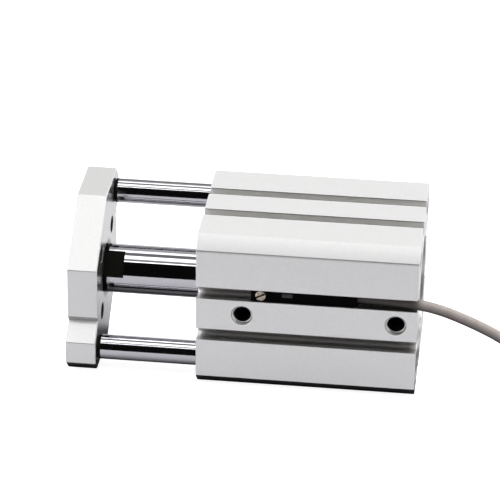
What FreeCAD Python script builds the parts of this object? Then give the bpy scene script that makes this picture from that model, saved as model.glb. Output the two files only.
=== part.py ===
import FreeCAD, Part
import math
import os
from FreeCAD import Vector

# Guided pneumatic cylinder, shown with its rod out.
# Origin: centre of the head end face, on the piston axis. +X runs from the plate to the head end,
# -Y is the face with the ports, +Z is up. All lengths are in millimetres.

# Fits
slip_fit = 0.02          # fixed pieces in their seats, radial
running_fit = 0.05       # sliding shafts in their bearings, radial
stop_gap = 0.3           # between bumper and stop at either end of the stroke

# Extruded body
stroke = 20.0
bore_diameter = 25.0
tube_wall = 7.5          # from the bore to a flat face
end_chamfer = 0.15       # round both ends of the extrusion
edge_chamfer = 3.0
chamfer_crown = 0.1      # how far the middle of an edge chamfer stands out
slot_offset = 5.6        # slot centre line from the middle of the face
slot_mouth = 3.2
slot_round = 4.4         # diameter of the round bottom of a slot
slot_depth = 2.9         # from the face to the centre of the round bottom

# Head end: a disc pressed into a shallow seat
cover_recess = 1.2
cover_thickness = 2.1
cover_lip = 0.3          # step that the disc is pressed against
cover_edge = 0.4

# Rod end: collar, snap ring and seals
ring_inset = 1.2
ring_thickness = 1.2
ring_groove_depth = 0.6
ring_width = 1.9
ring_opening = 50.0      # degrees that the snap ring leaves open
ring_lug_diameter = 3.4
ring_eye_diameter = 1.3
collar_length = 10.1
collar_nose_length = 3.3
collar_nose_step = 2.0
collar_edge = 0.5
seal_width = 3.2
seal_height = 2.5
seal_from_front = 1.3
o_ring_section = 1.2
o_ring_groove_width = 1.7
o_ring_from_nose = 0.9   # from the nose's shoulder to the groove

# Piston
piston_length = 15.4
piston_play = 0.1
piston_edge = 1.0
piston_seal_from_front = 3.0
piston_seal_width = 3.0
piston_seal_height = 2.4
magnet_gap = 2.0         # land between seal and magnet
magnet_width = 4.4
magnet_height = 2.7
bumper_inset = 1.5       # from the bore to the bumper's rim
bumper_width = 2.6
bumper_seat = 1.0
bumper_proud = 0.5
rivet_recess_diameter = 14.0
rivet_recess_depth = 2.6
rivet_diameter = 10.4
rivet_thickness = 1.4

# Piston rod
rod_diameter = 12.0
rod_spigot_diameter = 8.0
rod_edge = 0.3           # at the plate, on the guide rods too
flats_across = 10.0
flats_length = 4.9
flats_turn = 39.0        # degrees from the front face towards the top

# Guide rods and their bushes
guide_from_face = 5.8    # from a rod's axis to the two faces beside it
guide_diameter = 6.0
guide_past_bushes = 2.0  # with the rod out
guide_edge = 0.6
bush_wall = 1.0
bush_length = 10.0
bush_inset = 0.8
bush_spacing = 3.2
guide_clearance = 0.4    # behind the bushes, radial

# Bolt holes through the body
bolt_from_face = 6.0
bolt_hole_diameter = 5.5
bolt_head_diameter = 9.0
bolt_head_depth = 7.0

# Ports
port_diameter = 5.0      # outer diameter of the port thread
port_depth = 5.0
port_countersink = 0.25
port_passage = 2.5
port_from_nose = 1.5
port_from_cover = 1.8

# Plate
plate_gap = 4.55         # to the body with the rod in
plate_thickness = 7.3
plate_inset = 0.8        # from the body's faces
plate_corner = 2.7
plate_top_flat = 15.7    # length of the flat on top, next to the corner
plate_waist_in = 4.0     # from the plate's sides to its middle part
plate_waist_rise = 6.85
plate_waist_drop = 6.0
plate_notch_in = 0.8
plate_notch_drop = 1.2
plate_ear_side = 5.7     # height of the upright side of an ear
plate_edge = 0.25
plate_hole_offset = 7.9
plate_hole_diameter = 4.0    # outer diameter of the thread
plate_hole_countersink = 0.2

# Screws that hold the plate to the rods: thread, head, socket, length in the rod
rod_bolt = {"thread": 6.0, "head": 10.0, "height": 4.0, "hex": 4.0, "reach": 9.0}
guide_bolt = {"thread": 4.0, "head": 7.0, "height": 2.8, "hex": 2.5, "reach": 7.0}
bolt_head_play = 0.25    # round a head in its counterbore
bolt_head_sink = 0.2     # below the plate's outer face
bolt_hole_play = 0.25
thread_play = 0.02
tapping_extra = 1.5      # drilled past the screw's tip
socket_depth_share = 0.6

# Position switch in the upper front slot
switch_start = 13.1      # from the rod end of the body
switch_length = 25.3
switch_play = 0.15
switch_below_face = 0.6
switch_end_round = 0.8
screw_from_start = 2.3
screw_diameter = 2.5
screw_above_switch = 0.15
screw_slot_width = 0.5
screw_slot_depth = 0.8
screw_slot_turn = -27.0
window_from_start = 7.4
window_length = 2.5
window_width = 1.0
window_rise = 0.33       # above the switch's middle line
window_depth = 0.5

# Lead of the switch. The route is laid by hand; the rest of the length is in the coil.
lead_diameter = 2.6
lead_length = 500.0
lead_route = [
    (-14.4, -17.3, 5.5), (-5.0, -17.9, 5.65), (4.0, -19.1, 5.3), (13.0, -20.3, 2.55), (21.5, -21.4, -1.1),
    (30.5, -22.0, -8.3), (40.5, -22.3, -15.1), (51.0, -22.3, -16.1),
]
arc_share = 0.45         # of the shorter run that an arc's tangent may use
coil_mean_radius = 13.9
coil_turns_below = 3
coil_entry_radius = 16.2
tail_clear = 7.0         # from the last turn's tangent point to where the tail is clear of the coil
tail_length = 9.0
tie_width = 3.0
tie_thickness = 0.7
tie_head_side = 4.4
tie_head_height = 2.9
tie_head_sink = 0.4      # into the band
tie_head_from_inside = 2.7   # from the innermost turn to the head
wire_diameter = 1.1
wire_length = 14.0
wire_spread = 1.3
tip_diameter = 0.7
tip_length = 4.0

# Places along X that follow from the sizes above
bore_radius = bore_diameter / 2
body_half = bore_radius + tube_wall
bumper_outer = bore_radius - bumper_inset
bumper_inner = bumper_outer - bumper_width
cover_face = -cover_recess
cover_inside = cover_face - cover_thickness
piston_head_in = cover_inside - stop_gap - bumper_proud
piston_head = piston_head_in - stroke
piston_front = piston_head - piston_length
collar_nose = piston_front - bumper_proud - stop_gap
collar_front = collar_nose - collar_length
ring_front = collar_front - ring_thickness
rod_face = ring_front - ring_inset
plate_inside = rod_face - plate_gap - stroke
plate_outside = plate_inside - plate_thickness
rod_port = collar_nose - port_from_nose
head_port = cover_inside - port_from_cover
bush_span = bush_inset + 2 * bush_length + bush_spacing
guide_end = rod_face + bush_span + guide_past_bushes
slot_centre_depth = body_half - slot_depth
floor = -body_half
plate_half = body_half - plate_inset
plate_waist = plate_half - plate_waist_in
guide_offset = body_half - guide_from_face
bolt_offset = body_half - bolt_from_face
guides = {"upper": (guide_offset, guide_offset), "lower": (-guide_offset, -guide_offset)}
bolt_places = [(-bolt_offset, bolt_offset), (bolt_offset, -bolt_offset)]


def rod_along_x(start, end, radius, y=0.0, z=0.0):
    return Part.makeCylinder(radius, end - start, Vector(start, y, z), Vector(1, 0, 0))


def tube_along_x(start, end, inner, outer, y=0.0, z=0.0):
    return rod_along_x(start, end, outer, y, z).cut(rod_along_x(start, end, inner, y, z))


def turned(profile, y=0.0, z=0.0):
    """Revolve a closed profile of (x, radius) points about the X direction through (y, z)."""
    points = [Vector(x, 0, radius) for x, radius in profile]
    face = Part.Face(Part.makePolygon(points + points[:1]))
    solid = face.revolve(Vector(0, 0, 0), Vector(1, 0, 0), 360)
    solid.translate(Vector(0, y, z))
    return solid


def slot_edges(centre):
    """One slot of the top face, walked from -Y to +Y, as edges of the cross-section."""
    half = slot_mouth / 2
    reach = slot_round / 2
    neck = slot_centre_depth + math.sqrt(reach ** 2 - half ** 2)
    left_lip = Vector(0, centre - half, body_half)
    left_neck = Vector(0, centre - half, neck)
    bottom = Vector(0, centre, slot_centre_depth - reach)
    right_neck = Vector(0, centre + half, neck)
    right_lip = Vector(0, centre + half, body_half)
    round_bottom = Part.Arc(left_neck, bottom, right_neck).toShape()
    return [Part.makeLine(left_lip, left_neck), round_bottom, Part.makeLine(right_neck, right_lip)]


def side_edges():
    """The top side of the cross-section with its two slots, and the chamfer that follows it."""
    flat = body_half - edge_chamfer
    left, right = slot_edges(-slot_offset), slot_edges(slot_offset)
    start = Vector(0, -flat, body_half)
    end = Vector(0, flat, body_half)
    corner = Vector(0, body_half, flat)
    crown = (end + corner) / 2 + Vector(0, 1, 1) * (chamfer_crown / math.sqrt(2))
    lips = [Vector(0, side * slot_offset + turn * slot_mouth / 2, body_half) for side in (-1, 1) for turn in (-1, 1)]
    return [
        Part.makeLine(start, lips[0]), *left, Part.makeLine(lips[1], lips[2]), *right,
        Part.makeLine(lips[3], end), Part.Arc(end, crown, corner).toShape(),
    ]


def chamfered_ends(solid, size):
    """Chamfer the edges of the two faces that stand across X."""
    rims = []
    for edge in solid.Edges:
        box = edge.BoundBox
        if box.XMax - box.XMin < slip_fit:
            rims.append(edge)
    return solid.makeChamfer(size, rims)


def extrusion():
    """The body's cross-section is one side, repeated four times about the piston axis."""
    edges = []
    for quarter in range(4):
        for edge in side_edges():
            edge.rotate(Vector(0, 0, 0), Vector(1, 0, 0), -90 * quarter)
            edges.append(edge)
    wire = Part.Wire(Part.__sortEdges__(edges))
    profile = Part.Face(wire)
    profile.translate(Vector(rod_face, 0, 0))
    return chamfered_ends(profile.extrude(Vector(-rod_face, 0, 0)), end_chamfer)


def port_drilling(x):
    """Tapped port in the front face, with a narrow passage on to the bore."""
    radius = port_diameter / 2
    mouth = Vector(x, -body_half, 0)
    inward = Vector(0, 1, 0)
    drilling = Part.makeCylinder(radius, port_depth, mouth, inward)
    countersink = Part.makeCone(radius + port_countersink, radius, port_countersink, mouth, inward)
    passage = Part.makeCylinder(port_passage / 2, body_half - bore_radius + 1, mouth, inward)
    return drilling.fuse([countersink, passage])


def cylinder_tube():
    seat_radius = bore_radius + cover_lip
    guide_bore = guide_diameter / 2 + running_fit + bush_wall
    cuts = [
        rod_along_x(rod_face, 0, bore_radius),
        rod_along_x(ring_front, collar_front, bore_radius + ring_groove_depth),
        rod_along_x(cover_inside, 0, seat_radius),
        port_drilling(rod_port),
        port_drilling(head_port),
    ]
    for y, z in guides.values():
        cuts.append(rod_along_x(rod_face, rod_face + bush_span, guide_bore, y, z))
        cuts.append(rod_along_x(rod_face, 0, guide_diameter / 2 + guide_clearance, y, z))
    for y, z in bolt_places:
        cuts.append(rod_along_x(rod_face, 0, bolt_hole_diameter / 2, y, z))
        cuts.append(rod_along_x(rod_face, rod_face + bolt_head_depth, bolt_head_diameter / 2, y, z))
    return extrusion().cut(cuts)


def head_cover():
    radius = bore_radius + cover_lip - slip_fit
    return turned([
        (cover_inside, 0), (cover_inside, radius), (cover_face - cover_edge, radius),
        (cover_face, radius - cover_edge), (cover_face, 0),
    ])


def rod_collar():
    outer = bore_radius - slip_fit
    nose = outer - collar_nose_step
    inner = rod_diameter / 2 + running_fit
    shoulder = collar_nose - collar_nose_length
    collar = turned([
        (collar_front, inner), (collar_front, outer - collar_edge), (collar_front + collar_edge, outer),
        (shoulder, outer), (shoulder, nose), (collar_nose, nose), (collar_nose, inner),
    ])
    seal_start = collar_front + seal_from_front
    seal_groove = rod_along_x(seal_start, seal_start + seal_width, inner + seal_height)
    groove_end = shoulder - o_ring_from_nose
    o_ring_groove = tube_along_x(groove_end - o_ring_groove_width, groove_end, outer - o_ring_section, outer + 1)
    return collar.cut([seal_groove, o_ring_groove])


def rod_seal():
    inner = rod_diameter / 2 + running_fit
    start = collar_front + seal_from_front
    lip = seal_width / 4
    return turned([
        (start, inner), (start, inner + seal_height / 3), (start + lip, inner + seal_height / 2),
        (start, inner + 2 * seal_height / 3), (start, inner + seal_height), (start + seal_width, inner + seal_height),
        (start + seal_width, inner),
    ])


def collar_o_ring():
    outer = bore_radius - slip_fit
    radius = o_ring_section / 2
    middle = collar_nose - collar_nose_length - o_ring_from_nose - o_ring_groove_width / 2
    return Part.makeTorus(outer - radius, radius, Vector(middle, 0, 0), Vector(1, 0, 0))


def rod_retaining_ring():
    """Snap ring, open at the bottom, with an eyed lug at each end."""
    outer = bore_radius + ring_groove_depth - slip_fit
    ring = tube_along_x(ring_front, collar_front, outer - ring_width, outer)
    half_open = math.radians(ring_opening / 2)
    far = 2 * outer
    gap = Part.makePolygon([
        Vector(ring_front, 0, 0), Vector(ring_front, -far * math.sin(half_open), -far * math.cos(half_open)),
        Vector(ring_front, far * math.sin(half_open), -far * math.cos(half_open)), Vector(ring_front, 0, 0),
    ])
    ring = ring.cut(Part.Face(gap).extrude(Vector(ring_thickness, 0, 0)))
    lug_radius = ring_lug_diameter / 2
    lug_circle = bore_radius - lug_radius - slip_fit
    for side in (-1, 1):
        y = side * lug_circle * math.sin(half_open)
        z = -lug_circle * math.cos(half_open)
        ring = ring.fuse(rod_along_x(ring_front, collar_front, lug_radius, y, z))
        ring = ring.cut(rod_along_x(ring_front, collar_front, ring_eye_diameter / 2, y, z))
    return ring


def guide_bush(start, y, z):
    inner = guide_diameter / 2 + running_fit
    return tube_along_x(start, start + bush_length, inner, inner + bush_wall - slip_fit, y, z)


def wrench_flats():
    """The two slabs that mill the flats on the rod next to the plate."""
    radius = rod_diameter / 2
    slabs = []
    for side in (0, 180):
        slab = Part.makeBox(flats_length, rod_diameter, rod_diameter, Vector(plate_inside, -radius, flats_across / 2))
        slab.rotate(Vector(plate_inside, 0, 0), Vector(1, 0, 0), 90 - flats_turn + side)
        slabs.append(slab)
    return slabs


def tapped_end(bolt, y=0.0, z=0.0):
    depth = bolt["reach"] + tapping_extra
    return rod_along_x(plate_inside, plate_inside + depth, bolt["thread"] / 2, y, z)


def piston_rod():
    radius = rod_diameter / 2
    spigot = rod_spigot_diameter / 2
    web_end = piston_head - rivet_recess_depth
    rivet_end = web_end + rivet_thickness
    rod = turned([
        (plate_inside, 0), (plate_inside, radius - rod_edge), (plate_inside + rod_edge, radius),
        (piston_front, radius), (piston_front, spigot), (web_end, spigot), (web_end, rivet_diameter / 2),
        (rivet_end, rivet_diameter / 2 - rivet_thickness / 2), (rivet_end, 0),
    ])
    return rod.cut(wrench_flats() + [tapped_end(rod_bolt)])


def piston():
    radius = bore_radius - piston_play
    body = turned([
        (piston_front, rod_spigot_diameter / 2), (piston_front, radius - piston_edge),
        (piston_front + piston_edge, radius), (piston_head - piston_edge, radius),
        (piston_head, radius - piston_edge), (piston_head, rivet_recess_diameter / 2),
        (piston_head - rivet_recess_depth, rivet_recess_diameter / 2),
        (piston_head - rivet_recess_depth, rod_spigot_diameter / 2),
    ])
    seal_start = piston_front + piston_seal_from_front
    magnet_start = seal_start + piston_seal_width + magnet_gap
    grooves = [
        tube_along_x(seal_start, seal_start + piston_seal_width, radius - piston_seal_height, radius + 1),
        tube_along_x(magnet_start, magnet_start + magnet_width, radius - magnet_height, radius + 1),
        tube_along_x(piston_front, piston_front + bumper_seat, bumper_inner, bumper_outer),
        tube_along_x(piston_head - bumper_seat, piston_head, bumper_inner, bumper_outer),
    ]
    return body.cut(grooves)


def piston_seal():
    start = piston_front + piston_seal_from_front
    inner = bore_radius - piston_play - piston_seal_height
    return tube_along_x(start, start + piston_seal_width, inner, bore_radius - running_fit)


def piston_magnet():
    start = piston_front + piston_seal_from_front + piston_seal_width + magnet_gap
    inner = bore_radius - piston_play - magnet_height
    return tube_along_x(start, start + magnet_width, inner, inner + magnet_height - slip_fit)


def bumper(start):
    return tube_along_x(start, start + bumper_seat + bumper_proud, bumper_inner, bumper_outer)


def guide_rod(y, z):
    radius = guide_diameter / 2
    rod = turned([
        (plate_inside, 0), (plate_inside, radius - rod_edge), (plate_inside + rod_edge, radius),
        (guide_end - guide_edge, radius),
        (guide_end, radius - guide_edge), (guide_end, 0),
    ], y, z)
    return rod.cut(tapped_end(guide_bolt, y, z))


def plate_outline():
    """Half of the outline in (Y, Z); the other half is the same, turned by 180 degrees."""
    flat_end = plate_half - plate_corner
    notch = -plate_waist + plate_notch_in
    half = [
        (flat_end, plate_half), (flat_end - plate_top_flat, plate_half),
        (-plate_waist, plate_waist_rise), (-plate_waist, -plate_waist_drop),
        (notch, -plate_waist_drop - plate_notch_drop),
        (-plate_half, -flat_end + plate_ear_side), (-plate_half, -flat_end),
    ]
    return half + [(-y, -z) for y, z in half]


def bolt_seat(bolt, y, z):
    """Clearance hole and counterbore for one of the plate's screws."""
    head_depth = bolt["height"] + bolt_head_sink
    hole = rod_along_x(plate_outside, plate_inside, bolt["thread"] / 2 + bolt_hole_play, y, z)
    seat = rod_along_x(plate_outside, plate_outside + head_depth, bolt["head"] / 2 + bolt_head_play, y, z)
    return hole.fuse(seat)


def plate():
    points = [Vector(plate_outside, y, z) for y, z in plate_outline()]
    blank = Part.Face(Part.makePolygon(points + points[:1])).extrude(Vector(plate_thickness, 0, 0))
    blank = chamfered_ends(blank, plate_edge)
    cuts = [bolt_seat(rod_bolt, 0, 0)] + [bolt_seat(guide_bolt, y, z) for y, z in guides.values()]
    radius = plate_hole_diameter / 2
    sink = plate_hole_countersink
    for y in (-plate_hole_offset, plate_hole_offset):
        for z in (-plate_hole_offset, plate_hole_offset):
            cuts.append(rod_along_x(plate_outside, plate_inside, radius, y, z))
            cuts.append(Part.makeCone(radius + sink, radius, sink, Vector(plate_outside, y, z), Vector(1, 0, 0)))
            cuts.append(Part.makeCone(radius + sink, radius, sink, Vector(plate_inside, y, z), Vector(-1, 0, 0)))
    return blank.cut(cuts)


def hexagon_socket(bolt, start, y, z):
    corner = bolt["hex"] / math.sqrt(3)
    points = []
    for side in range(7):
        angle = math.radians(60 * side)
        points.append(Vector(start, y + corner * math.cos(angle), z + corner * math.sin(angle)))
    depth = bolt["height"] * socket_depth_share
    return Part.Face(Part.makePolygon(points)).extrude(Vector(depth, 0, 0))


def low_head_screw(bolt, y=0.0, z=0.0):
    head_top = plate_outside + bolt_head_sink
    seat = head_top + bolt["height"]
    tip = plate_inside + bolt["reach"]
    radius = bolt["thread"] / 2 - thread_play
    rounding = bolt["height"] / 10
    screw = turned([
        (head_top, 0), (head_top, bolt["head"] / 2 - rounding), (head_top + rounding, bolt["head"] / 2),
        (seat, bolt["head"] / 2), (seat, radius), (tip - rounding, radius), (tip, radius - rounding), (tip, 0),
    ], y, z)
    return screw.cut(hexagon_socket(bolt, head_top, y, z))


switch_from = rod_face + switch_start
switch_to = switch_from + switch_length
switch_top = -body_half + switch_below_face
slot_middle = -slot_centre_depth


def switch_body():
    """Round in the slot's bottom, with a narrow back that fills the slot's mouth."""
    round_part = rod_along_x(switch_from, switch_to, slot_round / 2 - switch_play, slot_middle, slot_offset)
    width = slot_mouth - 2 * switch_play
    back = Part.makeBox(
        switch_length, slot_middle - switch_top, width, Vector(switch_from, switch_top, slot_offset - width / 2))
    upright = []
    for edge in back.Edges:
        direction = edge.Vertexes[-1].Point - edge.Vertexes[0].Point
        on_end = edge.Vertexes[0].X > switch_to - slip_fit
        if abs(direction.z) > width / 2 and on_end and edge.Vertexes[0].Y < switch_top + slip_fit:
            upright.append(edge)
    back = back.makeFillet(switch_end_round, upright)
    body = round_part.fuse(back).removeSplitter()
    return body.cut([screw_hole(), window_recess()])


def screw_hole():
    start = Vector(switch_from + screw_from_start, -body_half, slot_offset)
    return Part.makeCylinder(screw_diameter / 2 + slip_fit, body_half, start, Vector(0, 1, 0))


def window_recess():
    middle = slot_offset + window_rise
    corner = Vector(switch_from + window_from_start, switch_top, middle - window_width / 2)
    return Part.makeBox(window_length, window_depth, window_width, corner)


def switch_set_screw():
    """Its flat tip stands across the round bottom of the slot."""
    x = switch_from + screw_from_start
    top = switch_top - screw_above_switch
    bottom = slot_middle + math.sqrt((slot_round / 2) ** 2 - (screw_diameter / 2) ** 2) - slip_fit
    screw = Part.makeCylinder(screw_diameter / 2, bottom - top, Vector(x, top, slot_offset), Vector(0, 1, 0))
    slot = Part.makeBox(
        2 * screw_diameter, screw_slot_depth, screw_slot_width,
        Vector(x - screw_diameter, top, slot_offset - screw_slot_width / 2))
    slot.rotate(Vector(x, top, slot_offset), Vector(0, 1, 0), screw_slot_turn)
    return screw.cut(slot)


def rounded_path(points):
    """Straight runs joined by tangent arcs as large as their two runs allow. Also gives the radii."""
    corners = [Vector(*point) for point in points]
    edges = []
    radii = []
    last = corners[0]
    for before, corner, after in zip(corners, corners[1:], corners[2:]):
        back = before - corner
        onward = after - corner
        tangent = arc_share * min(back.Length, onward.Length)
        turn = math.pi - back.getAngle(onward)
        radius = tangent / math.tan(turn / 2)
        back.normalize()
        onward.normalize()
        inward = back + onward
        inward.normalize()
        start = corner + back * tangent
        end = corner + onward * tangent
        middle = corner + inward * (radius / math.cos(turn / 2) - radius)
        edges.append(Part.makeLine(last, start))
        edges.append(Part.Arc(start, middle, end).toShape())
        radii.append(radius)
        last = end
    edges.append(Part.makeLine(last, corners[-1]))
    return Part.Wire(edges), radii


def swept_tube(points, diameter):
    path, radii = rounded_path(points)
    start = Vector(*points[0])
    circle = Part.makeCircle(diameter / 2, start, Vector(*points[1]) - start)
    solid = path.makePipeShell([Part.Wire([circle])], True, True)
    return solid, path.Length, radii


lead_radius = lead_diameter / 2
coil_entry = Vector(*lead_route[-1])
coil_centre = Vector(coil_entry.x, coil_entry.y + coil_entry_radius, 0)
coil_inner = coil_mean_radius - coil_turns_below * lead_radius
coil_outer = coil_mean_radius + coil_turns_below * lead_radius
coil_height = 2 * lead_diameter


def lead_coil():
    """Outer shape of the put-away turns: two layers, lying flat beside the cylinder."""
    shoulder = lead_radius
    profile = [
        (coil_inner, 0), (coil_outer, 0), (coil_outer, coil_height - shoulder), (coil_outer - shoulder, coil_height),
        (coil_inner + shoulder, coil_height), (coil_inner, coil_height - shoulder),
    ]
    points = [Vector(coil_centre.x + radius, coil_centre.y, floor + height) for radius, height in profile]
    face = Part.Face(Part.makePolygon(points + points[:1]))
    return face.revolve(Vector(coil_centre.x, coil_centre.y, 0), Vector(0, 0, 1), 360)


def lead_tie():
    """Flat band with its lock, round all the turns, on the side away from the cylinder."""
    width = coil_outer - coil_inner
    inside = Part.makeBox(
        width, tie_width, coil_height,
        Vector(coil_centre.x + coil_inner, coil_centre.y - tie_width / 2, floor))
    outside = Part.makeBox(
        width + 2 * tie_thickness, tie_width, coil_height + tie_thickness,
        Vector(coil_centre.x + coil_inner - tie_thickness, coil_centre.y - tie_width / 2, floor))
    head = Part.makeBox(
        tie_head_side, tie_head_side, tie_head_height,
        Vector(coil_centre.x + coil_inner + tie_head_from_inside, coil_centre.y - tie_head_side / 2,
               floor + coil_height + tie_thickness - tie_head_sink))
    return outside.fuse(head).cut(inside)


def lead_tail():
    """The outermost lower turn runs off the coil in a straight tail."""
    start = Vector(coil_centre.x - coil_outer + lead_radius, coil_centre.y - tail_clear, floor + lead_radius)
    return Part.makeCylinder(lead_radius, tail_length, start, Vector(0, -1, 0))


def conductors(start_offset, length, diameter):
    """Stripped conductors that fan out from the end of the tail along the floor."""
    end_x = coil_centre.x - coil_outer + lead_radius
    end_y = coil_centre.y - tail_clear - tail_length
    pieces = []
    for side in (-1, 1):
        base = Vector(end_x + side * wire_diameter / 2, end_y, floor + lead_radius)
        along = Vector(side * wire_spread, -wire_length, wire_diameter / 2 - lead_radius)
        along.normalize()
        pieces.append(Part.makeCylinder(diameter / 2, length, base + along * start_offset, along))
    return Part.makeCompound(pieces)


lead_tube, lead_run, lead_radii = swept_tube(lead_route, lead_diameter)

pieces = {
    "cylinder_tube": cylinder_tube(),
    "head_cover": head_cover(),
    "rod_collar": rod_collar(),
    "rod_retaining_ring": rod_retaining_ring(),
    "rod_seal": rod_seal(),
    "collar_o_ring": collar_o_ring(),
    "piston_rod": piston_rod(),
    "piston": piston(),
    "piston_seal": piston_seal(),
    "piston_magnet": piston_magnet(),
    "rod_side_bumper": bumper(piston_front - bumper_proud),
    "head_side_bumper": bumper(piston_head - bumper_seat),
    "plate": plate(),
    "piston_rod_bolt": low_head_screw(rod_bolt),
    "switch_body": switch_body(),
    "switch_set_screw": switch_set_screw(),
    "switch_window": window_recess(),
    "switch_lead": lead_tube,
    "lead_coil": lead_coil(),
    "lead_tie": lead_tie(),
    "lead_tail": lead_tail(),
    "lead_wires": conductors(0.0, wire_length, wire_diameter),
    "lead_wire_tips": conductors(wire_length, tip_length, tip_diameter),
}
for level, (y, z) in guides.items():
    outer_start = rod_face + bush_inset
    pieces[level + "_guide_rod"] = guide_rod(y, z)
    pieces[level + "_guide_bolt"] = low_head_screw(guide_bolt, y, z)
    pieces[level + "_outer_bush"] = guide_bush(outer_start, y, z)
    pieces[level + "_inner_bush"] = guide_bush(outer_start + bush_length + bush_spacing, y, z)

os.makedirs("parts", exist_ok=True)
for node, shape in pieces.items():
    shape.exportStep("parts/" + node + ".step")
    print(node, "solids", len(shape.Solids), "valid", shape.isValid(), "volume", round(shape.Volume, 1))
print("body length", -rod_face, "plate from", plate_outside, "to", plate_inside)
print("lead run", round(lead_run, 1), "arc radii", [round(radius, 1) for radius in lead_radii])
print("tube volume over section times length",
      round(lead_tube.Volume / (math.pi * lead_radius ** 2 * lead_run), 4))
coiled = lead_length - lead_run - tail_clear - tail_length
print("coiled length", round(coiled, 1), "turns", round(coiled / (2 * math.pi * coil_mean_radius), 2))
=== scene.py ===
import math
import bmesh
import bpy
from mathutils import Matrix, Vector


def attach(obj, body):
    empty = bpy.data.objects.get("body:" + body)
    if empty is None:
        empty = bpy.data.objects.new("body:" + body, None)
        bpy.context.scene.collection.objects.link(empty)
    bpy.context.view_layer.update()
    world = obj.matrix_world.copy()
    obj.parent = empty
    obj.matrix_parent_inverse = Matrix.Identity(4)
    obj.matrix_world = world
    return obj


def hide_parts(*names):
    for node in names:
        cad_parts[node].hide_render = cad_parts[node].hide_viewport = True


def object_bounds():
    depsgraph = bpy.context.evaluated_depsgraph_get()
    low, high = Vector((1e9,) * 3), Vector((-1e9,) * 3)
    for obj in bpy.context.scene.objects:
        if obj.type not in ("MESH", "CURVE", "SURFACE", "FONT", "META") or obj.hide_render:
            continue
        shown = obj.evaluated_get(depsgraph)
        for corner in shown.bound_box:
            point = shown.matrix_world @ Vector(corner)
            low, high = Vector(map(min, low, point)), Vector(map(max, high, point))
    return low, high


# Guided pneumatic cylinder: finishes, threads, switch lead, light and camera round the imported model.
# Everything is in metres, in the model's own frame: +X to the head end, -Y to the ports, +Z up.

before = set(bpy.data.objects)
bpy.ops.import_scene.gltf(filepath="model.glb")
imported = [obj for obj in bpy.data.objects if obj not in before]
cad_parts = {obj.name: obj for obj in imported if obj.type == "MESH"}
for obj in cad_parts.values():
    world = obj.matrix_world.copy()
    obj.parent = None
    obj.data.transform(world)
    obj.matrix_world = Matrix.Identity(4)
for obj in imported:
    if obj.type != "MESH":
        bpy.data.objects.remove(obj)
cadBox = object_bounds()
mm = 0.001
scene = bpy.context.scene
scene.view_settings.view_transform = "Standard"
print("model loaded:", len(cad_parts), "nodes")


def look(az, el, roll):
    # Right, up and backward directions of a camera that looks along +Y at azimuth 0.
    a, e, r = (math.radians(angle) for angle in (az, el, roll))
    back = Vector((math.sin(a) * math.cos(e), -math.cos(a) * math.cos(e), math.sin(e)))
    level = (-back).cross(Vector((0, 0, 1))).normalized()
    upright = level.cross(-back)
    right = level * math.cos(r) + upright * math.sin(r)
    return right, back.cross(right), back


# The photograph's view, fitted to the edges of the extruded body and to the rods and plate.
cameraSizes = {
    "azimuth": 6.16, "elevation": 27.813, "roll": 0.79, "distance": 673.0 * mm,
    "target": (-42.013 * mm, 0.0, 7.225 * mm), "lens": 199.29, "sensor": 36.0,
    "centreOffset": 0.122 * mm,     # half a pixel at the target
}


def makeCamera(size):
    right, up, back = look(size["azimuth"], size["elevation"], size["roll"])
    camera = bpy.data.objects.new("camera", bpy.data.cameras.new("camera"))
    camera.data.lens = size["lens"]
    camera.data.sensor_width = size["sensor"]
    camera.data.clip_start = 0.01
    place = Vector(size["target"]) + back * size["distance"] + (up - right) * size["centreOffset"]
    turn = Matrix((right, up, back)).transposed()
    camera.matrix_world = Matrix.Translation(place) @ turn.to_4x4()
    scene.collection.objects.link(camera)
    scene.camera = camera


makeCamera(cameraSizes)
print("camera placed")


def addNode(tree, kind, inputs=None, **settings):
    made = tree.nodes.new(kind)
    for name, value in settings.items():
        setattr(made, name, value)
    for name, value in (inputs or {}).items():
        if isinstance(value, bpy.types.NodeSocket):
            tree.links.new(value, made.inputs[name])
        else:
            made.inputs[name].default_value = value
    return made


def maths(tree, operation, *values):
    return addNode(tree, "ShaderNodeMath", dict(enumerate(values)), operation=operation).outputs[0]


def fold(tree, operation, *values):
    # The same operation over a row of values, two at a time.
    whole = values[0]
    for value in values[1:]:
        whole = maths(tree, operation, whole, value)
    return whole


def remap(tree, value, fromRange, toRange, kind="LINEAR"):
    inputs = {
        "Value": value, "From Min": fromRange[0], "From Max": fromRange[1],
        "To Min": toRange[0], "To Max": toRange[1],
    }
    return addNode(tree, "ShaderNodeMapRange", inputs, interpolation_type=kind).outputs[0]


def component(tree, vector, axis):
    return addNode(tree, "ShaderNodeSeparateXYZ", {0: vector}).outputs[axis]


def distance(tree, first, second):
    # Length of the flat vector with these two parts.
    flat = addNode(tree, "ShaderNodeCombineXYZ", {"X": first, "Y": second}).outputs[0]
    return addNode(tree, "ShaderNodeVectorMath", {0: flat}, operation="LENGTH").outputs["Value"]


def scaled(tree, vector, factor):
    inputs = {0: vector, "Scale": factor}
    return addNode(tree, "ShaderNodeVectorMath", inputs, operation="SCALE").outputs[0]


def ramp(tree, factor, stops):
    made = addNode(tree, "ShaderNodeValToRGB", {0: factor})
    elements = made.color_ramp.elements
    while len(elements) < len(stops):
        elements.new(0.5)
    for element, (position, colour) in zip(elements, stops):
        element.position = position
        element.color = (*colour, 1.0)
    return made.outputs[0]


def blend(tree, share, first, second):
    return addNode(tree, "ShaderNodeMix", {0: share, 2: first, 3: second}).outputs[0]


def blendTones(tree, share, first, second):
    # Each tone is a socket, or three numbers.
    inputs = {0: share}
    for number, tone in ((6, first), (7, second)):
        inputs[number] = tone if isinstance(tone, bpy.types.NodeSocket) else (*tone, 1)
    return addNode(tree, "ShaderNodeMix", inputs, data_type="RGBA").outputs[2]


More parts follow.
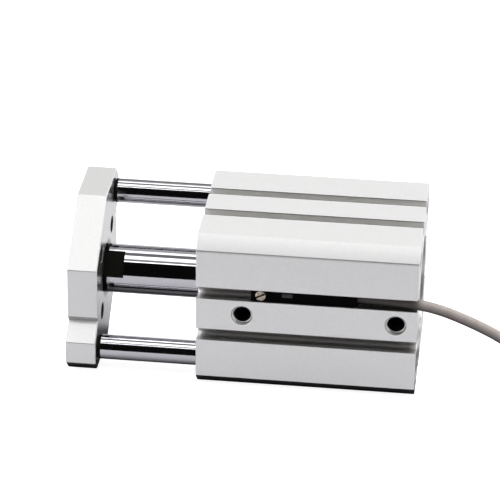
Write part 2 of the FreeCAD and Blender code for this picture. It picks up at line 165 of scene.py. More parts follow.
# The studio: three long soft boxes overhead with dim gaps between them, and an unlit room round them.
# Each level stands at an angle in the plane across the cylinder, in degrees from the horizon in front,
# over the top, to the horizon behind.
studioLight = {
    "levels": [
        (59.8, 0.0015), (61.4, 1.30), (63.8, 1.30), (65.6, 0.13), (73.5, 0.13), (79.5, 1.19),
        (90.5, 1.19), (94.0, 0.10), (109.5, 0.08), (114.5, 1.08), (121.0, 1.08), (126.0, 0.22),
        (142.0, 0.18), (148.0, 0.02), (163.0, 0.03), (170.0, 0.28), (180.0, 0.28),
    ],
    "tint": (1.0, 0.994, 0.985), "strength": 2.80,
    "side": 0.60, "sideSpan": (0.50, 0.85),     # the even light past both ends of the cylinder
}


def makeStudio(size):
    world = bpy.data.worlds.new("studio")
    world.use_nodes = True
    tree = world.node_tree
    tree.nodes.clear()
    direction = addNode(tree, "ShaderNodeTexCoord").outputs["Generated"]
    x, y, z = (component(tree, direction, axis) for axis in "XYZ")
    angle = maths(tree, "ARCTAN2", z, maths(tree, "MULTIPLY", y, -1.0))
    share = maths(tree, "DIVIDE", angle, math.pi)
    across = ramp(tree, share, [
        (degrees / 180, [level * part for part in size["tint"]]) for degrees, level in size["levels"]])
    aside = remap(tree, maths(tree, "ABSOLUTE", x), size["sideSpan"], (0, 1), "SMOOTHSTEP")
    mixed = blendTones(tree, aside, across, [size["side"]] * 3)
    lit = addNode(tree, "ShaderNodeBackground", {"Color": mixed, "Strength": size["strength"]})
    white = addNode(tree, "ShaderNodeBackground", {"Color": (1, 1, 1, 1), "Strength": 1.0})
    seen = addNode(tree, "ShaderNodeLightPath").outputs["Is Camera Ray"]
    choice = addNode(tree, "ShaderNodeMixShader", {0: seen, 1: lit.outputs[0], 2: white.outputs[0]})
    addNode(tree, "ShaderNodeOutputWorld", {"Surface": choice.outputs[0]})
    scene.world = world


# The table's colour for metal and bounced light is painted with the object's shadow: white in front of the
# cylinder and again behind its axis, painted dark between the two, with a half-lit strip from middleEdge to
# middleEnd that fades to dimShare of itself under the axis. The camera sees all of it evenly pale; only the
# metal and the bounced light see the strips. Each pair is a soft edge.
floorSizes = {
    "side": 3.0, "level": cadBox[0].z, "colour": (0.74, 0.735, 0.76), "cameraGlow": 0.88, "dim": 0.50,
    "frontEdge": (-25 * mm, -10 * mm), "middleEdge": (-11.5 * mm, -9 * mm),
    "middleEnd": (-5.5 * mm, -2 * mm), "dimShare": 0.4, "backEdge": (1.5 * mm, 8.5 * mm),
    "tableStart": -240 * mm,
}


def makeFloor(size):
    half = size["side"] / 2
    mesh = bpy.data.meshes.new("floor")
    corners = [(x * half, y * half, size["level"]) for x, y in ((-1, -1), (1, -1), (1, 1), (-1, 1))]
    mesh.from_pydata(corners, [], [(0, 1, 2, 3)])
    floor = bpy.data.objects.new("floor", mesh)
    material = bpy.data.materials.new("paleFloor")
    material.use_nodes = True
    tree = material.node_tree
    tree.nodes.clear()
    seen = addNode(tree, "ShaderNodeLightPath").outputs["Is Camera Ray"]
    depth = component(tree, addNode(tree, "ShaderNodeTexCoord").outputs["Object"], "Y")
    # Painted shadow of the object on the table, by place across the axis, seen only by non-camera rays; in
    # front of tableStart the table is dark to them too.
    front = remap(tree, depth, size["frontEdge"], (1, 0), "SMOOTHSTEP")
    rise = remap(tree, depth, size["middleEdge"], (0, size["dim"]), "SMOOTHSTEP")
    fall = remap(tree, depth, size["middleEnd"], (1, size["dimShare"]), "SMOOTHSTEP")
    back = remap(tree, depth, size["backEdge"], (0, 1), "SMOOTHSTEP")
    level = fold(tree, "MAXIMUM", front, maths(tree, "MULTIPLY", rise, fall), back)
    near = maths(tree, "GREATER_THAN", depth, size["tableStart"])
    shade = maths(tree, "MAXIMUM", seen, maths(tree, "MULTIPLY", level, near))
    colour = blendTones(tree, shade, (0, 0, 0), size["colour"])
    paint = addNode(tree, "ShaderNodeBsdfDiffuse", {"Color": colour})
    glow = maths(tree, "MULTIPLY", seen, size["cameraGlow"])
    light = addNode(tree, "ShaderNodeEmission", {"Color": (1, 1, 1, 1), "Strength": glow})
    both = addNode(tree, "ShaderNodeAddShader", {0: paint.outputs[0], 1: light.outputs[0]})
    addNode(tree, "ShaderNodeOutputMaterial", {"Surface": both.outputs[0]})
    mesh.materials.append(material)
    scene.collection.objects.link(floor)


makeStudio(studioLight)
makeFloor(floorSizes)
print("studio lit")


noiseSpan = (0.3, 0.7)      # most values of a noise lie in this range
bevelSamples = 6


def newFinish(name, colour, roughness, metallic=0.0, specular=0.5):
    # A material with its shader's constants set, and the object's own coordinates to draw on.
    material = bpy.data.materials.new(name)
    material.use_nodes = True
    tree = material.node_tree
    shader = tree.nodes["Principled BSDF"]
    shader.inputs["Base Color"].default_value = (*colour, 1)
    shader.inputs["Roughness"].default_value = roughness
    shader.inputs["Metallic"].default_value = metallic
    shader.inputs["Specular IOR Level"].default_value = specular
    coordinates = addNode(tree, "ShaderNodeTexCoord").outputs["Object"]
    return material, tree, shader, coordinates


def noise(tree, coordinates, size, detail=2.0, stretch=(1, 1, 1)):
    # Noise whose smallest patches are about the given size in metres, times the stretch along each axis.
    scale = tuple(1 / (size * part) for part in stretch)
    mapping = addNode(tree, "ShaderNodeMapping", {"Vector": coordinates, "Scale": scale})
    inputs = {"Vector": mapping.outputs[0], "Scale": 1.0, "Detail": detail, "Roughness": 0.55}
    return addNode(tree, "ShaderNodeTexNoise", inputs).outputs[0]


def shades(tree, factor, dark, light, span=noiseSpan):
    # From dark to light as the factor crosses the span.
    return ramp(tree, factor, [(span[0], dark), (span[1], light)])


def unevenGloss(tree, shader, factor, roughness, least, most):
    # Roughness that varies with the factor, between two shares of the given one.
    rough = remap(tree, factor, noiseSpan, (roughness * least, roughness * most))
    tree.links.new(rough, shader.inputs["Roughness"])


def relief(tree, shader, height, strength, depth, edge=0.0):
    # Bump of the given depth in metres, over edges rounded to the eye by the given radius.
    bump = addNode(tree, "ShaderNodeBump", {"Height": height, "Strength": strength, "Distance": depth})
    if edge:
        rounded = addNode(tree, "ShaderNodeBevel", {"Radius": edge}, samples=bevelSamples)
        tree.links.new(rounded.outputs[0], bump.inputs["Normal"])
    tree.links.new(bump.outputs[0], shader.inputs["Normal"])


def facing(tree, axis, normal="True Normal"):
    # How far a face looks along an axis, from -1 to 1.
    return component(tree, addNode(tree, "ShaderNodeNewGeometry").outputs[normal], axis)


# Where the finishes and the painted light and shade change on the body: its outer faces and chamfers, its
# ends, slots and ports
bodyMarks = {
    "face": 20 * mm, "outside": 19.8 * mm, "chamfer": 36.2 * mm,    # the chamfer in |Y| + |Z|
    "middle": -26.4 * mm, "openEnd": (24.3 * mm, 26.4 * mm),        # from the middle to the end
    "upperSlots": (12 * mm, 14 * mm), "lowChamfers": (-13 * mm, -17 * mm),
    "portsMiddle": -23.45 * mm, "portFromMiddle": 18.35 * mm, "portRadius": 2.7 * mm,
    "portBottom": -8 * mm, "threadDark": (1.2 * mm, 1.6 * mm), "threadRidge": (2.36 * mm, 2.22 * mm),
}
# On the plate: the tapped holes' places and radius, and what lies on the outer face
plateMarks = {"hole": 7.9 * mm, "holeRadius": 2.15 * mm, "outerFace": -81 * mm}


def insideBody(tree, place):
    # 1 in the slots and drillings, 0 on the body's outer faces.
    y, z = (maths(tree, "ABSOLUTE", component(tree, place, axis)) for axis in "YZ")
    deep = maths(tree, "LESS_THAN", maths(tree, "MAXIMUM", y, z), bodyMarks["outside"])
    cornered = maths(tree, "LESS_THAN", maths(tree, "ADD", y, z), bodyMarks["chamfer"])
    return maths(tree, "MULTIPLY", deep, cornered)


def insidePlate(tree, place):
    # 1 in the plate's four tapped holes, 0 elsewhere.
    fromAxes = [maths(tree, "ABSOLUTE", component(tree, place, axis)) for axis in "YZ"]
    y, z = (maths(tree, "SUBTRACT", value, plateMarks["hole"]) for value in fromAxes)
    return maths(tree, "LESS_THAN", distance(tree, y, z), plateMarks["holeRadius"])


def fromAxis(tree, place):
    # Distance from the cylinder's axis, in metres.
    return distance(tree, component(tree, place, "Y"), component(tree, place, "Z"))


def fromPorts(tree, place):
    # Distance from the axis of the nearer port, in metres.
    along = maths(tree, "SUBTRACT", component(tree, place, "X"), bodyMarks["portsMiddle"])
    across = maths(tree, "SUBTRACT", maths(tree, "ABSOLUTE", along), bodyMarks["portFromMiddle"])
    return distance(tree, across, component(tree, place, "Z"))


def portDepth(tree, place):
    # How far below the front face, in metres, inside the two ports; 0 outside them.
    y = component(tree, place, "Y")
    near = maths(tree, "LESS_THAN", fromPorts(tree, place), bodyMarks["portRadius"])
    front = maths(tree, "LESS_THAN", y, bodyMarks["portBottom"])
    return fold(tree, "MULTIPLY", near, front, maths(tree, "ADD", y, bodyMarks["face"]))


def threadCrests(tree, place):
    # 1 on the crest of the port threads, 0 on their root.
    return remap(tree, fromPorts(tree, place), bodyMarks["threadRidge"], (0, 1))


def openEnds(tree, place):
    # 1 where the slots run out of the body's two ends, 0 some way in.
    along = maths(tree, "SUBTRACT", component(tree, place, "X"), bodyMarks["middle"])
    return remap(tree, maths(tree, "ABSOLUTE", along), bodyMarks["openEnd"], (0, 1), "SMOOTHSTEP")


def endFacing(tree):
    # 1 on faces that look along X, 0 on all others.
    return remap(tree, maths(tree, "ABSOLUTE", facing(tree, "X")), (0.90, 0.99), (0, 1))


def underside(tree):
    # 1 on chamfers that look at the table, 0 on level and upright faces.
    upwards = facing(tree, "Z")
    slanted = remap(tree, upwards, (-0.15, -0.40), (0, 1))
    return maths(tree, "MULTIPLY", slanted, remap(tree, upwards, (-0.99, -0.95), (0, 1)))


def sharpEdges(tree, radius):
    # 1 along the level edges of the faces that look along Y, 0 from the given radius on; it places a painted
    # dark shade line.
    rounded = addNode(tree, "ShaderNodeBevel", {"Radius": radius}, samples=bevelSamples).outputs[0]
    lean = maths(tree, "ABSOLUTE", component(tree, rounded, "Z"))
    upright = maths(tree, "GREATER_THAN", maths(tree, "ABSOLUTE", facing(tree, "Y", "Normal")), 0.95)
    return maths(tree, "MULTIPLY", remap(tree, lean, (0.07, 0.20), (0, 1)), upright)


blasted = {
    "dark": (0.85, 0.85, 0.852), "light": (0.90, 0.90, 0.902), "endTone": (0.86, 0.86, 0.862),
    # The three tones on the next line are painted shade and light: the slots' insides darker, those in the
    # top face lighter, and painted light where the slots run out of the body's ends.
    "inside": (0.41, 0.405, 0.40), "upperInsidePaintedShade": (0.78, 0.775, 0.765), "openEnd": (0.80, 0.795, 0.785),
    # The thread and port bottom tones on the next line are painted light and shade: a highlight on the
    # crests, shade at the roots and a dark painted bottom.
    "root": (0.48, 0.475, 0.465), "crest": (0.95, 0.95, 0.94), "deep": (0.015, 0.015, 0.015),
    # Painted dark shade line along the level edges of the faces.
    "edgeShadeTone": (0.06, 0.058, 0.057), "edgeWidth": 1.15 * mm, "edgeFrom": 9 * mm,   # only edges above this
    # Painted shade, near black, on the chamfers that look at the table.
    "undersideShadeTone": (0.026, 0.026, 0.026), "metallic": 0.45, "bareMetallic": 0.95,
    "roughness": (0.50, 0.58), "machinedRoughness": 0.27, "insideRoughness": 0.30,
    "grain": 0.16 * mm, "mottle": 0.38 * mm, "marks": 0.09 * mm, "marksStretch": (1, 60, 1),
    "bump": 0.55, "depth": 0.008 * mm, "edge": 0.12 * mm,
}

# The plate's drillings are painted dark as shade, its upward faces are darker, and a painted ring of shade
# and dark reflection lies on its milled inner face round the piston rod.
plateTones = {
    "dark": (0.835, 0.835, 0.836), "light": (0.885, 0.885, 0.886), "endTone": (0.71, 0.71, 0.712),
    "inside": (0.05, 0.05, 0.05), "upperInsidePaintedShade": (0.05, 0.05, 0.05), "openEnd": (0.05, 0.05, 0.05),
    "rodShadeTone": (0.045, 0.042, 0.038), "rodShadeRing": (6.3 * mm, 7.6 * mm), "machinedRoughness": 0.24,
    "topShade": 0.87, "edgeWidth": 0.48 * mm, "edgeFrom": -30 * mm,
}


def faceTone(tree, place, ends, size):
    # Outer faces: mottled where they were blasted, even where they were milled.
    colour = shades(tree, noise(tree, place, size["mottle"], 3.0), size["dark"], size["light"])
    milled = size["endTone"]
    # On the plate, a painted ring of shade and dark reflection round the piston rod, on its milled inner face
    # only.
    if "rodShadeRing" in size:
        outerFace = maths(tree, "LESS_THAN", component(tree, place, "X"), plateMarks["outerFace"])
        fromRod = remap(tree, fromAxis(tree, place), size["rodShadeRing"], (0, 1))
        pastRodShade = maths(tree, "MAXIMUM", fromRod, outerFace)
        milled = blendTones(tree, pastRodShade, size["rodShadeTone"], milled)
    colour = blendTones(tree, ends, colour, milled)
    if "topShade" in size:
        level = remap(tree, facing(tree, "Z"), (0.97, 0.995), (1.0, size["topShade"]))
        colour = scaled(tree, colour, level)
    return colour


def insideTone(tree, place, lifted, size):
    # Painted shade in the slots, lighter in the top face, with painted light at the body's ends; in the
    # ports, painted highlights on the thread crests and painted shade at their roots and dark bottom.
    upper = remap(tree, lifted, bodyMarks["upperSlots"], (0, 1))
    slots = shades(tree, upper, size["inside"], size["upperInsidePaintedShade"], (0, 1))
    lit = maths(tree, "MULTIPLY", openEnds(tree, place), maths(tree, "SUBTRACT", 1.0, upper))
    slots = blendTones(tree, lit, slots, size["openEnd"])
    # Painted highlight on the thread crests, painted shade at their roots and darker still deeper in.
    depth = portDepth(tree, place)
    thread = shades(tree, threadCrests(tree, place), size["root"], size["crest"], (0, 1))
    thread = blendTones(tree, remap(tree, depth, bodyMarks["threadDark"], (0, 1)), thread, size["deep"])
    return blendTones(tree, maths(tree, "GREATER_THAN", depth, 0.0), slots, thread)


def blastedAluminium(name, size, drilled):
    # Fine-blasted, clear-anodised aluminium. Its end faces were cut afterwards and keep their tool marks.
    material, tree, shader, place = newFinish(name, size["light"], 0.4, size["metallic"])
    grain = noise(tree, place, size["grain"], 3.0)
    marks = noise(tree, place, size["marks"], 2.0, size["marksStretch"])
    lifted = component(tree, place, "Z")
    ends = endFacing(tree)
    inside = maths(tree, "MULTIPLY", drilled(tree, place), maths(tree, "SUBTRACT", 1.0, ends))
    outside = maths(tree, "SUBTRACT", 1.0, inside)
    faces = faceTone(tree, place, ends, size)
    colour = blendTones(tree, inside, faces, insideTone(tree, place, lifted, size))
    # Painted shade line along the level edges of the upper faces, off the slots and drillings.
    high = maths(tree, "GREATER_THAN", lifted, size["edgeFrom"])
    paintedEdgeShade = fold(tree, "MULTIPLY", sharpEdges(tree, size["edgeWidth"]), outside, high)
    colour = blendTones(tree, paintedEdgeShade, colour, size["edgeShadeTone"])
    # Painted shade on the chamfers that look at the table, stronger lower down; these are also made more
    # metallic.
    low = remap(tree, lifted, bodyMarks["lowChamfers"], (0.5, 1))
    paintedUndersideShade = fold(tree, "MULTIPLY", underside(tree), outside, low)
    colour = blendTones(tree, paintedUndersideShade, colour, size["undersideShadeTone"])
    tree.links.new(colour, shader.inputs["Base Color"])
    matt = remap(tree, grain, noiseSpan, size["roughness"])
    rough = blend(tree, ends, blend(tree, inside, matt, size["insideRoughness"]), size["machinedRoughness"])
    tree.links.new(rough, shader.inputs["Roughness"])
    bare = fold(tree, "MAXIMUM", ends, inside, paintedUndersideShade)
    metallic = remap(tree, bare, (0, 1), (size["metallic"], size["bareMetallic"]))
    tree.links.new(metallic, shader.inputs["Metallic"])
    relief(tree, shader, blend(tree, ends, grain, marks), size["bump"], size["depth"], size["edge"])
    return material


chromed = {
    "colour": (0.555, 0.55, 0.585), "roughness": (0.035, 0.075),
    "ring": 0.05 * mm, "ringStretch": (1, 40, 40), "bump": 0.05, "depth": 0.0003 * mm,
    "flat": (0.014, 0.014, 0.012), "flatRoughness": 0.55,
    # Past the end given on the next line, at the plate, the rod's root carries painted shade.
    "flatEnd": -72.5 * mm, "flatRadius": 5.93 * mm, "rootShadeEnd": -76.5 * mm,     # the root is at the plate
}
guideChrome = {"roughness": (0.09, 0.12)}


def groundChrome(name, size):
    # Hard chrome, ground round the rod, so its marks run round it. The flats are dark and dull, and painted
    # shade makes the rod's root dark and dull where it meets the plate.
    material, tree, shader, place = newFinish(name, size["colour"], 0.05, 1.0)
    rings = noise(tree, place, size["ring"], 2.0, size["ringStretch"])
    along = component(tree, place, "X")
    sunk = maths(tree, "LESS_THAN", fromAxis(tree, place), size["flatRadius"])
    flats = maths(tree, "MULTIPLY", sunk, maths(tree, "LESS_THAN", along, size["flatEnd"]))
    flatsAndRootShade = maths(tree, "MAXIMUM", flats, maths(tree, "LESS_THAN", along, size["rootShadeEnd"]))
    tree.links.new(blendTones(tree, flatsAndRootShade, size["colour"], size["flat"]), shader.inputs["Base Color"])
    ground = remap(tree, rings, noiseSpan, size["roughness"])
    tree.links.new(blend(tree, flatsAndRootShade, ground, size["flatRoughness"]), shader.inputs["Roughness"])
    relief(tree, shader, rings, size["bump"], size["depth"])
    return material


turned = {"groove": 0.24 * mm, "chatter": 0.5 * mm, "bump": 0.2, "depth": 0.0015 * mm, "edge": 0.08 * mm}


def turnedMetal(name, colour, roughness, size=turned):
    # Lathe-turned face: fine rings about the cylinder's axis.
    material, tree, shader, place = newFinish(name, colour, roughness, 1.0)
    rings = maths(tree, "SINE", maths(tree, "MULTIPLY", fromAxis(tree, place), 2 * math.pi / size["groove"]))
    chatter = noise(tree, place, size["chatter"], 2.0)
    unevenGloss(tree, shader, chatter, roughness, 0.8, 1.2)
    height = maths(tree, "ADD", rings, maths(tree, "MULTIPLY", chatter, 0.5))
    relief(tree, shader, height, size["bump"], size["depth"], size["edge"])
    return material


def plainMetal(name, dark, light, roughness, metallic=1.0, grain=0.25 * mm, depth=0.004 * mm):
    material, tree, shader, place = newFinish(name, light, roughness, metallic)
    cloud = noise(tree, place, grain, 3.0)
    tree.links.new(shades(tree, cloud, dark, light), shader.inputs["Base Color"])
    unevenGloss(tree, shader, cloud, roughness, 0.8, 1.25)
    relief(tree, shader, cloud, 0.4, depth, 0.06 * mm)
    return material


moulded = {"grain": 0.12 * mm, "patch": 1.68 * mm, "bump": 0.4, "depth": 0.004 * mm, "edge": 0.08 * mm}


def mouldedPlastic(name, dark, light, roughness, specular=0.4, size=moulded):
    # Moulded plastic or rubber: an even skin with a fine spark-eroded grain and slightly uneven gloss.
    material, tree, shader, place = newFinish(name, light, roughness, 0.0, specular)
    patches = noise(tree, place, size["patch"], 2.0)
    tree.links.new(shades(tree, patches, dark, light, (0.35, 0.65)), shader.inputs["Base Color"])
    unevenGloss(tree, shader, patches, roughness, 0.85, 1.15)
    relief(tree, shader, noise(tree, place, size["grain"]), size["bump"], size["depth"], size["edge"])
    return material


smoked = {"dark": (0.020, 0.020, 0.021), "light": (0.038, 0.038, 0.038), "roughness": 0.18, "patch": 0.6 * mm}


def windowPlastic(name, size):
    # Clear smoked plastic over the switch's lamp.
    material, tree, shader, place = newFinish(name, size["light"], size["roughness"], 0.0, 0.3)
    cloud = noise(tree, place, size["patch"], 2.0)
    tree.links.new(shades(tree, cloud, size["dark"], size["light"]), shader.inputs["Base Color"])
    return material


# The sheath's upper colour is painted light on its top and its lower colour painted shade beneath it; a
# painted shade darkens the length that lies in the slot.
sheath = {
    "upper": (0.51, 0.455, 0.43), "lower": (0.036, 0.024, 0.020), "turn": (-0.5, 1.0), "roughness": 0.5,
    "slotShade": 0.26, "slotShadeEnds": (-1.5 * mm, 2.0 * mm), "patch": 1.6 * mm, "patchShade": (0.93, 1.05),
    "grain": 0.12 * mm, "depth": 0.004 * mm,
}


def leadSheath(name, size):
    # Vinyl sheath with painted light and shade: paler where it looks up, darker where it looks down, and
    # painted shade where it lies in the slot.
    material, tree, shader, place = newFinish(name, size["upper"], size["roughness"], 0.0, 0.45)
    upwards = remap(tree, facing(tree, "Z", "Normal"), size["turn"], (0, 1))
    skin = shades(tree, upwards, size["lower"], size["upper"], (0, 1))
    along = component(tree, place, "X")
    # Painted shade where the lead lies inside the slot.
    slotShade = remap(tree, along, size["slotShadeEnds"], (size["slotShade"], 1.0), "SMOOTHSTEP")
    patches = remap(tree, noise(tree, place, size["patch"], 2.0), noiseSpan, size["patchShade"])
    skin = scaled(tree, skin, maths(tree, "MULTIPLY", slotShade, patches))
    tree.links.new(skin, shader.inputs["Base Color"])
    relief(tree, shader, noise(tree, place, size["grain"]), 0.4, size["depth"])
    return material


insulation = {
    "brown": ((0.085, 0.032, 0.014), (0.12, 0.048, 0.022)),
    "blue": ((0.018, 0.065, 0.24), (0.028, 0.09, 0.32)),
    "roughness": 0.38, "patch": 0.8 * mm, "grain": 0.1 * mm, "depth": 0.003 * mm,
}


def wireInsulation(name, splitAt, size=insulation):
    # Two conductors in one node: blue on the far side of the split in X, brown on the near side.
    material, tree, shader, place = newFinish(name, size["brown"][0], size["roughness"])
    side = maths(tree, "GREATER_THAN", component(tree, place, "X"), splitAt)
    cloud = noise(tree, place, size["patch"], 2.0)
    brown, blue = (shades(tree, cloud, *size[colour]) for colour in ("brown", "blue"))
    tree.links.new(blendTones(tree, side, brown, blue), shader.inputs["Base Color"])
    relief(tree, shader, noise(tree, place, size["grain"]), 0.3, size["depth"])
    return material


finishes = {
    "body": blastedAluminium("blastedAluminium", blasted, insideBody),
    "plate": blastedAluminium("plateAluminium", dict(blasted, **plateTones), insidePlate),
    "chrome": groundChrome("groundChrome", chromed),
    "steel": groundChrome("groundSteel", dict(chromed, **guideChrome)),
    "cover": turnedMetal("turnedCover", (0.78, 0.78, 0.785), 0.26),
    "collar": turnedMetal("turnedCollar", (0.72, 0.71, 0.69), 0.30),
    "piston": turnedMetal("turnedPiston", (0.74, 0.74, 0.74), 0.32),
    "ring": plainMetal("phosphatedSteel", (0.030, 0.030, 0.033), (0.060, 0.060, 0.064), 0.42, 0.8),
    "blackSteel": plainMetal("blackedSteel", (0.022, 0.022, 0.024), (0.045, 0.045, 0.048), 0.36, 0.75),
    "bronze": plainMetal("sinteredBronze", (0.42, 0.25, 0.10), (0.60, 0.38, 0.17), 0.38),
    "brass": plainMetal(
        "nickelledBrass", (0.13, 0.11, 0.075), (0.66, 0.60, 0.50), 0.16, grain=0.42 * mm, depth=0.02 * mm),
    "tinned": plainMetal("tinnedCopper", (0.55, 0.52, 0.48), (0.78, 0.76, 0.73), 0.28, grain=0.12 * mm),
    "rubber": mouldedPlastic("sealRubber", (0.010, 0.010, 0.010), (0.018, 0.018, 0.018), 0.55),
    "urethane": mouldedPlastic("bumperUrethane", (0.20, 0.10, 0.03), (0.28, 0.15, 0.05), 0.45),
    "magnet": mouldedPlastic("magnetRubber", (0.030, 0.028, 0.026), (0.045, 0.042, 0.040), 0.6),
    "switch": mouldedPlastic(
        "switchPlastic", (0.0006, 0.0006, 0.0006), (0.0012, 0.0012, 0.0012), 0.5, specular=0.03),
    "window": windowPlastic("switchWindow", smoked),
    "sheath": leadSheath("leadSheath", sheath),
    "tie": mouldedPlastic("tieNylon", (0.012, 0.012, 0.012), (0.022, 0.022, 0.022), 0.40),
}

# Which finish each CAD node wears
nodeFinishes = {
    "body": ["cylinder_tube"],
    "plate": ["plate"],
    "chrome": ["piston_rod"],
    "steel": ["upper_guide_rod", "lower_guide_rod"],
    "cover": ["head_cover"],
    "collar": ["rod_collar"],
    "piston": ["piston"],
    "ring": ["rod_retaining_ring"],
    "blackSteel": ["piston_rod_bolt", "upper_guide_bolt", "lower_guide_bolt"],
    "bronze": ["upper_outer_bush", "upper_inner_bush", "lower_outer_bush", "lower_inner_bush"],
    "brass": ["switch_set_screw"],
    "rubber": ["rod_seal", "collar_o_ring", "piston_seal"],
    "urethane": ["rod_side_bumper", "head_side_bumper"],
    "magnet": ["piston_magnet"],
    "switch": ["switch_body"],
    "window": ["switch_window"],
    "sheath": ["switch_lead", "lead_coil", "lead_tail"],
    "tie": ["lead_tie"],
    "tinned": ["lead_wire_tips"],
}


def wear(node, material):
    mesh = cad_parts[node].data
    mesh.materials.clear()
    mesh.materials.append(material)


for finish, nodes in nodeFinishes.items():
    for name in nodes:
        wear(name, finishes[finish])
print("finishes on the CAD nodes")


def geometryTree(name, sizes):
    # A Geometry Nodes tree that takes a geometry, one named number for each size, and a finish.
    tree = bpy.data.node_groups.new(name, "GeometryNodeTree")
    tree.interface.new_socket("Seeds", in_out="INPUT", socket_type="NodeSocketGeometry")
    for label, value in sizes.items():
        kind = "NodeSocketInt" if isinstance(value, int) else "NodeSocketFloat"
        tree.interface.new_socket(label, in_out="INPUT", socket_type=kind)
    tree.interface.new_socket("Finish", in_out="INPUT", socket_type="NodeSocketMaterial")
    tree.interface.new_socket("Grown", in_out="OUTPUT", socket_type="NodeSocketGeometry")
    return tree, tree.nodes.new("NodeGroupInput").outputs


def closeTree(tree, geometry, finish):
    whole = addNode(tree, "GeometryNodeRealizeInstances", {0: geometry})
    dressed = addNode(tree, "GeometryNodeSetMaterial", {"Geometry": whole.outputs[0], "Material": finish})
    addNode(tree, "NodeGroupOutput", {0: dressed.outputs[0]})
    return tree


def seedMesh(name, places):
    # Loose points, each with the direction along which its copy stands.
    mesh = bpy.data.meshes.new(name)
    mesh.from_pydata([[value * mm for value in place] for place, along in places], [], [])
    directions = mesh.attributes.new("along", "FLOAT_VECTOR", "POINT")
    for item, (place, along) in zip(directions.data, places):
        item.vector = along
    return mesh


def standOnSeeds(tree, seeds, copy):
    along = addNode(tree, "GeometryNodeInputNamedAttribute", {"Name": "along"}, data_type="FLOAT_VECTOR")
    turned = addNode(tree, "FunctionNodeAlignRotationToVector", {"Vector": along.outputs[0]}, axis="Z")
    inputs = {"Points": seeds, "Instance": copy, "Rotation": turned.outputs[0]}
    return addNode(tree, "GeometryNodeInstanceOnPoints", inputs).outputs[0]


def grow(name, tree, seeds, sizes, finish):
    # The tree's result on the seeds, as a plain mesh object.
    holder = bpy.data.objects.new(name + "Seeds", seeds)
    scene.collection.objects.link(holder)
    modifier = holder.modifiers.new("grown", "NODES")
    modifier.node_group = tree
    values = dict(sizes, Finish=finish)
    for socket in tree.interface.items_tree:
        if socket.name in values:
            modifier[socket.identifier] = values[socket.name]
    graph = bpy.context.evaluated_depsgraph_get()
    mesh = bpy.data.meshes.new_from_object(holder.evaluated_get(graph), depsgraph=graph)
    bpy.data.objects.remove(holder)
    grown = bpy.data.objects.new(name, mesh)
    scene.collection.objects.link(grown)
    return grown


# Tapped holes: the CAD drills them to the thread's outer diameter, and the ridge stands on that wall.
# A ridge rises over the first part of a turn, given by the run out, and sinks back over the last.
portThread = {
    "Radius": 2.5 * mm, "Pitch": 0.8 * mm, "Length": 4.4 * mm, "Ridge": 0.43 * mm, "Run out": 0.5,
}
plateThread = {
    "Radius": 2.0 * mm, "Pitch": 0.7 * mm, "Length": 6.8 * mm, "Ridge": 0.36 * mm, "Run out": 0.5,
}
# The ridge's section: widths as shares of the pitch, its sinking into the wall, and its size at the ends
ridgeForm = {"foot": 0.86, "crest": 0.2, "lift": 0.46, "least": 0.08}
# Each hole's mouth in mm, and the direction in which it was drilled
portMouths = [((x, -19.7, 0.0), (0, 1, 0)) for x in (-41.8, -5.1)]
plateMouths = [((-84.4, y, z), (1, 0, 0)) for y in (-7.9, 7.9) for z in (-7.9, 7.9)]


def makeThreadTree(form):
    tree, given = geometryTree("threadRidge", portThread)
    turns = maths(tree, "DIVIDE", given["Length"], given["Pitch"])
    inputs = {
        "Resolution": 40, "Rotations": turns, "Start Radius": given["Radius"],
        "End Radius": given["Radius"], "Height": given["Length"], "Reverse": True,
    }
    helix = addNode(tree, "GeometryNodeCurveSpiral", inputs).outputs[0]
    level = addNode(tree, "GeometryNodeSetCurveNormal", {"Curve": helix}, mode="Z_UP").outputs[0]
    inputs = {
        "Height": given["Ridge"], "Bottom Width": maths(tree, "MULTIPLY", given["Pitch"], form["foot"]),
        "Top Width": maths(tree, "MULTIPLY", given["Pitch"], form["crest"]), "Offset": 0.0,
    }
    flank = addNode(tree, "GeometryNodeCurvePrimitiveQuadrilateral", inputs, mode="TRAPEZOID").outputs[0]
    lift = maths(tree, "MULTIPLY", given["Ridge"], form["lift"])
    inputs = {"Geometry": flank, "Translation": addNode(tree, "ShaderNodeCombineXYZ", {"Y": lift}).outputs[0]}
    raised = addNode(tree, "GeometryNodeTransform", inputs).outputs[0]
    inputs = {"Geometry": raised, "Rotation": (0, 0, math.pi / 2)}
    turned = addNode(tree, "GeometryNodeTransform", inputs).outputs[0]
    along = addNode(tree, "GeometryNodeSplineParameter").outputs["Factor"]
    fromEnd = maths(tree, "MINIMUM", along, maths(tree, "SUBTRACT", 1.0, along))
    risen = maths(tree, "DIVIDE", maths(tree, "MULTIPLY", fromEnd, turns), given["Run out"])
    scale = maths(tree, "MAXIMUM", maths(tree, "MINIMUM", risen, 1.0), form["least"])
    inputs = {"Curve": level, "Profile Curve": turned, "Scale": scale, "Fill Caps": True}
    ridge = addNode(tree, "GeometryNodeCurveToMesh", inputs).outputs[0]
    return closeTree(tree, standOnSeeds(tree, given["Seeds"], ridge), given["Finish"])


threadTree = makeThreadTree(ridgeForm)
portRidges = grow(
    "portThreads", threadTree, seedMesh("portMouths", portMouths), portThread, finishes["body"])
plateRidges = grow(
    "plateThreads", threadTree, seedMesh("plateMouths", plateMouths), plateThread, finishes["plate"])
for piece, body, slot in (
        (portRidges, "body", "body_aluminium"), (plateRidges, "carriage", "plate_aluminium")):
    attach(piece, body)
print("threads cut")

